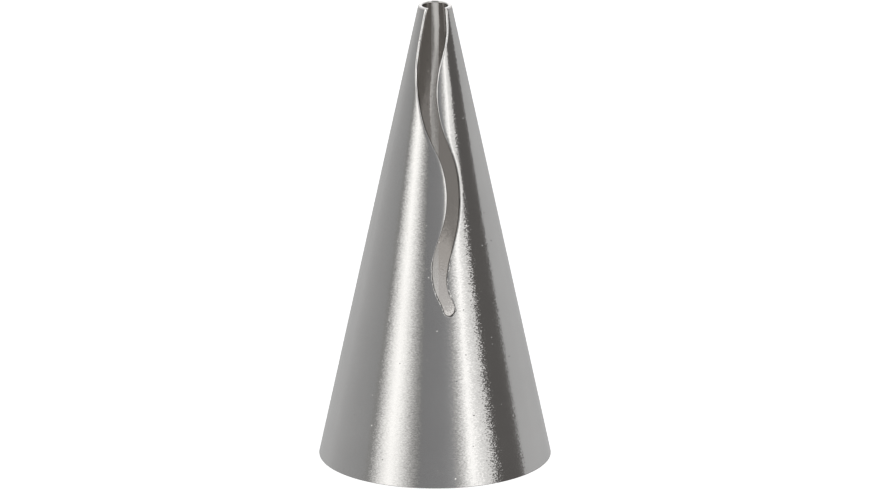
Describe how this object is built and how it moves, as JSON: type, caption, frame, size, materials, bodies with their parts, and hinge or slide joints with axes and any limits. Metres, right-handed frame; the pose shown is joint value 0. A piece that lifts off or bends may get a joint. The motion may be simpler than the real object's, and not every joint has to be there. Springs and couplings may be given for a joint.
{
  "type": "piping nozzle",
  "caption": "Steep open cone of thin brushed steel with a wavy slot running down its front from the narrow tip, for piping ruffles and frills of icing.",
  "frame": {"origin": "centre of the base rim, on the plane that the nozzle stands on", "axes": "+Z along the cone's axis from the base rim to the tip; the wavy slot faces -Y and the welded seam is on +Y"},
  "size_m": [0.023, 0.023, 0.0463],
  "materials": {
    "brushed_steel": "stainless steel, brushed round the cone with a fine belt, lip and slot edges eased and polished",
    "weld_steel": "stainless steel weld, ground flush on both sides and brushed with the sheet"
  },
  "bodies": {
    "root": {"cone_shell": "brushed_steel", "seam_weld": "weld_steel"}
  },
  "joints": []
}
